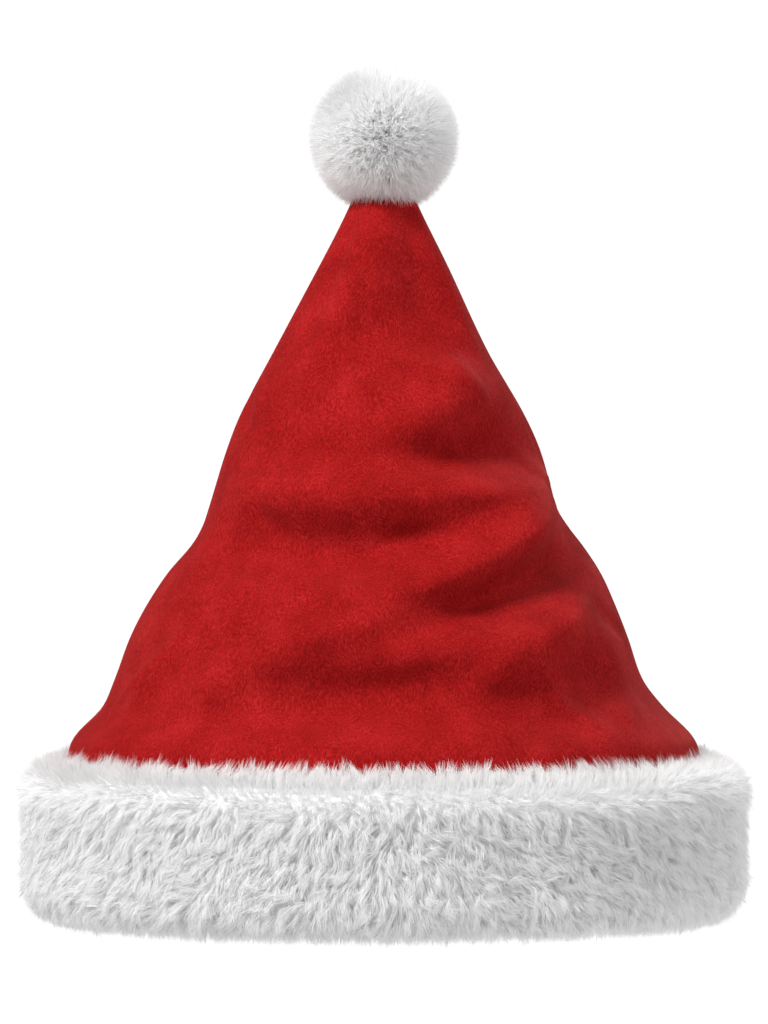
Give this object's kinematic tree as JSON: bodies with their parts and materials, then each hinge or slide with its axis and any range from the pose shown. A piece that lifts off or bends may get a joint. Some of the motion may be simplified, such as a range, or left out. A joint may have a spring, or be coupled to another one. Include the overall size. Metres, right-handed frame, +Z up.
{
  "type": "plush christmas hat",
  "caption": "Soft red plush cone hat with a deep white fur brim and a white fur pompom on its tip, standing filled out and open below.",
  "frame": {"origin": "middle of the head opening, in the plane of the brim's lower edge", "axes": "+Z up along the hat to its tip, -Y to the front, +X to the right as seen from the front"},
  "size_m": [0.226, 0.226, 0.2634],
  "materials": {
    "red_plush": "short dense pile, matt",
    "white_fur": "long soft fur, matt"
  },
  "bodies": {
    "root": {"crown_front": "red_plush", "crown_back": "red_plush", "fur_brim": "white_fur", "fur_pompom": "white_fur"}
  },
  "joints": []
}
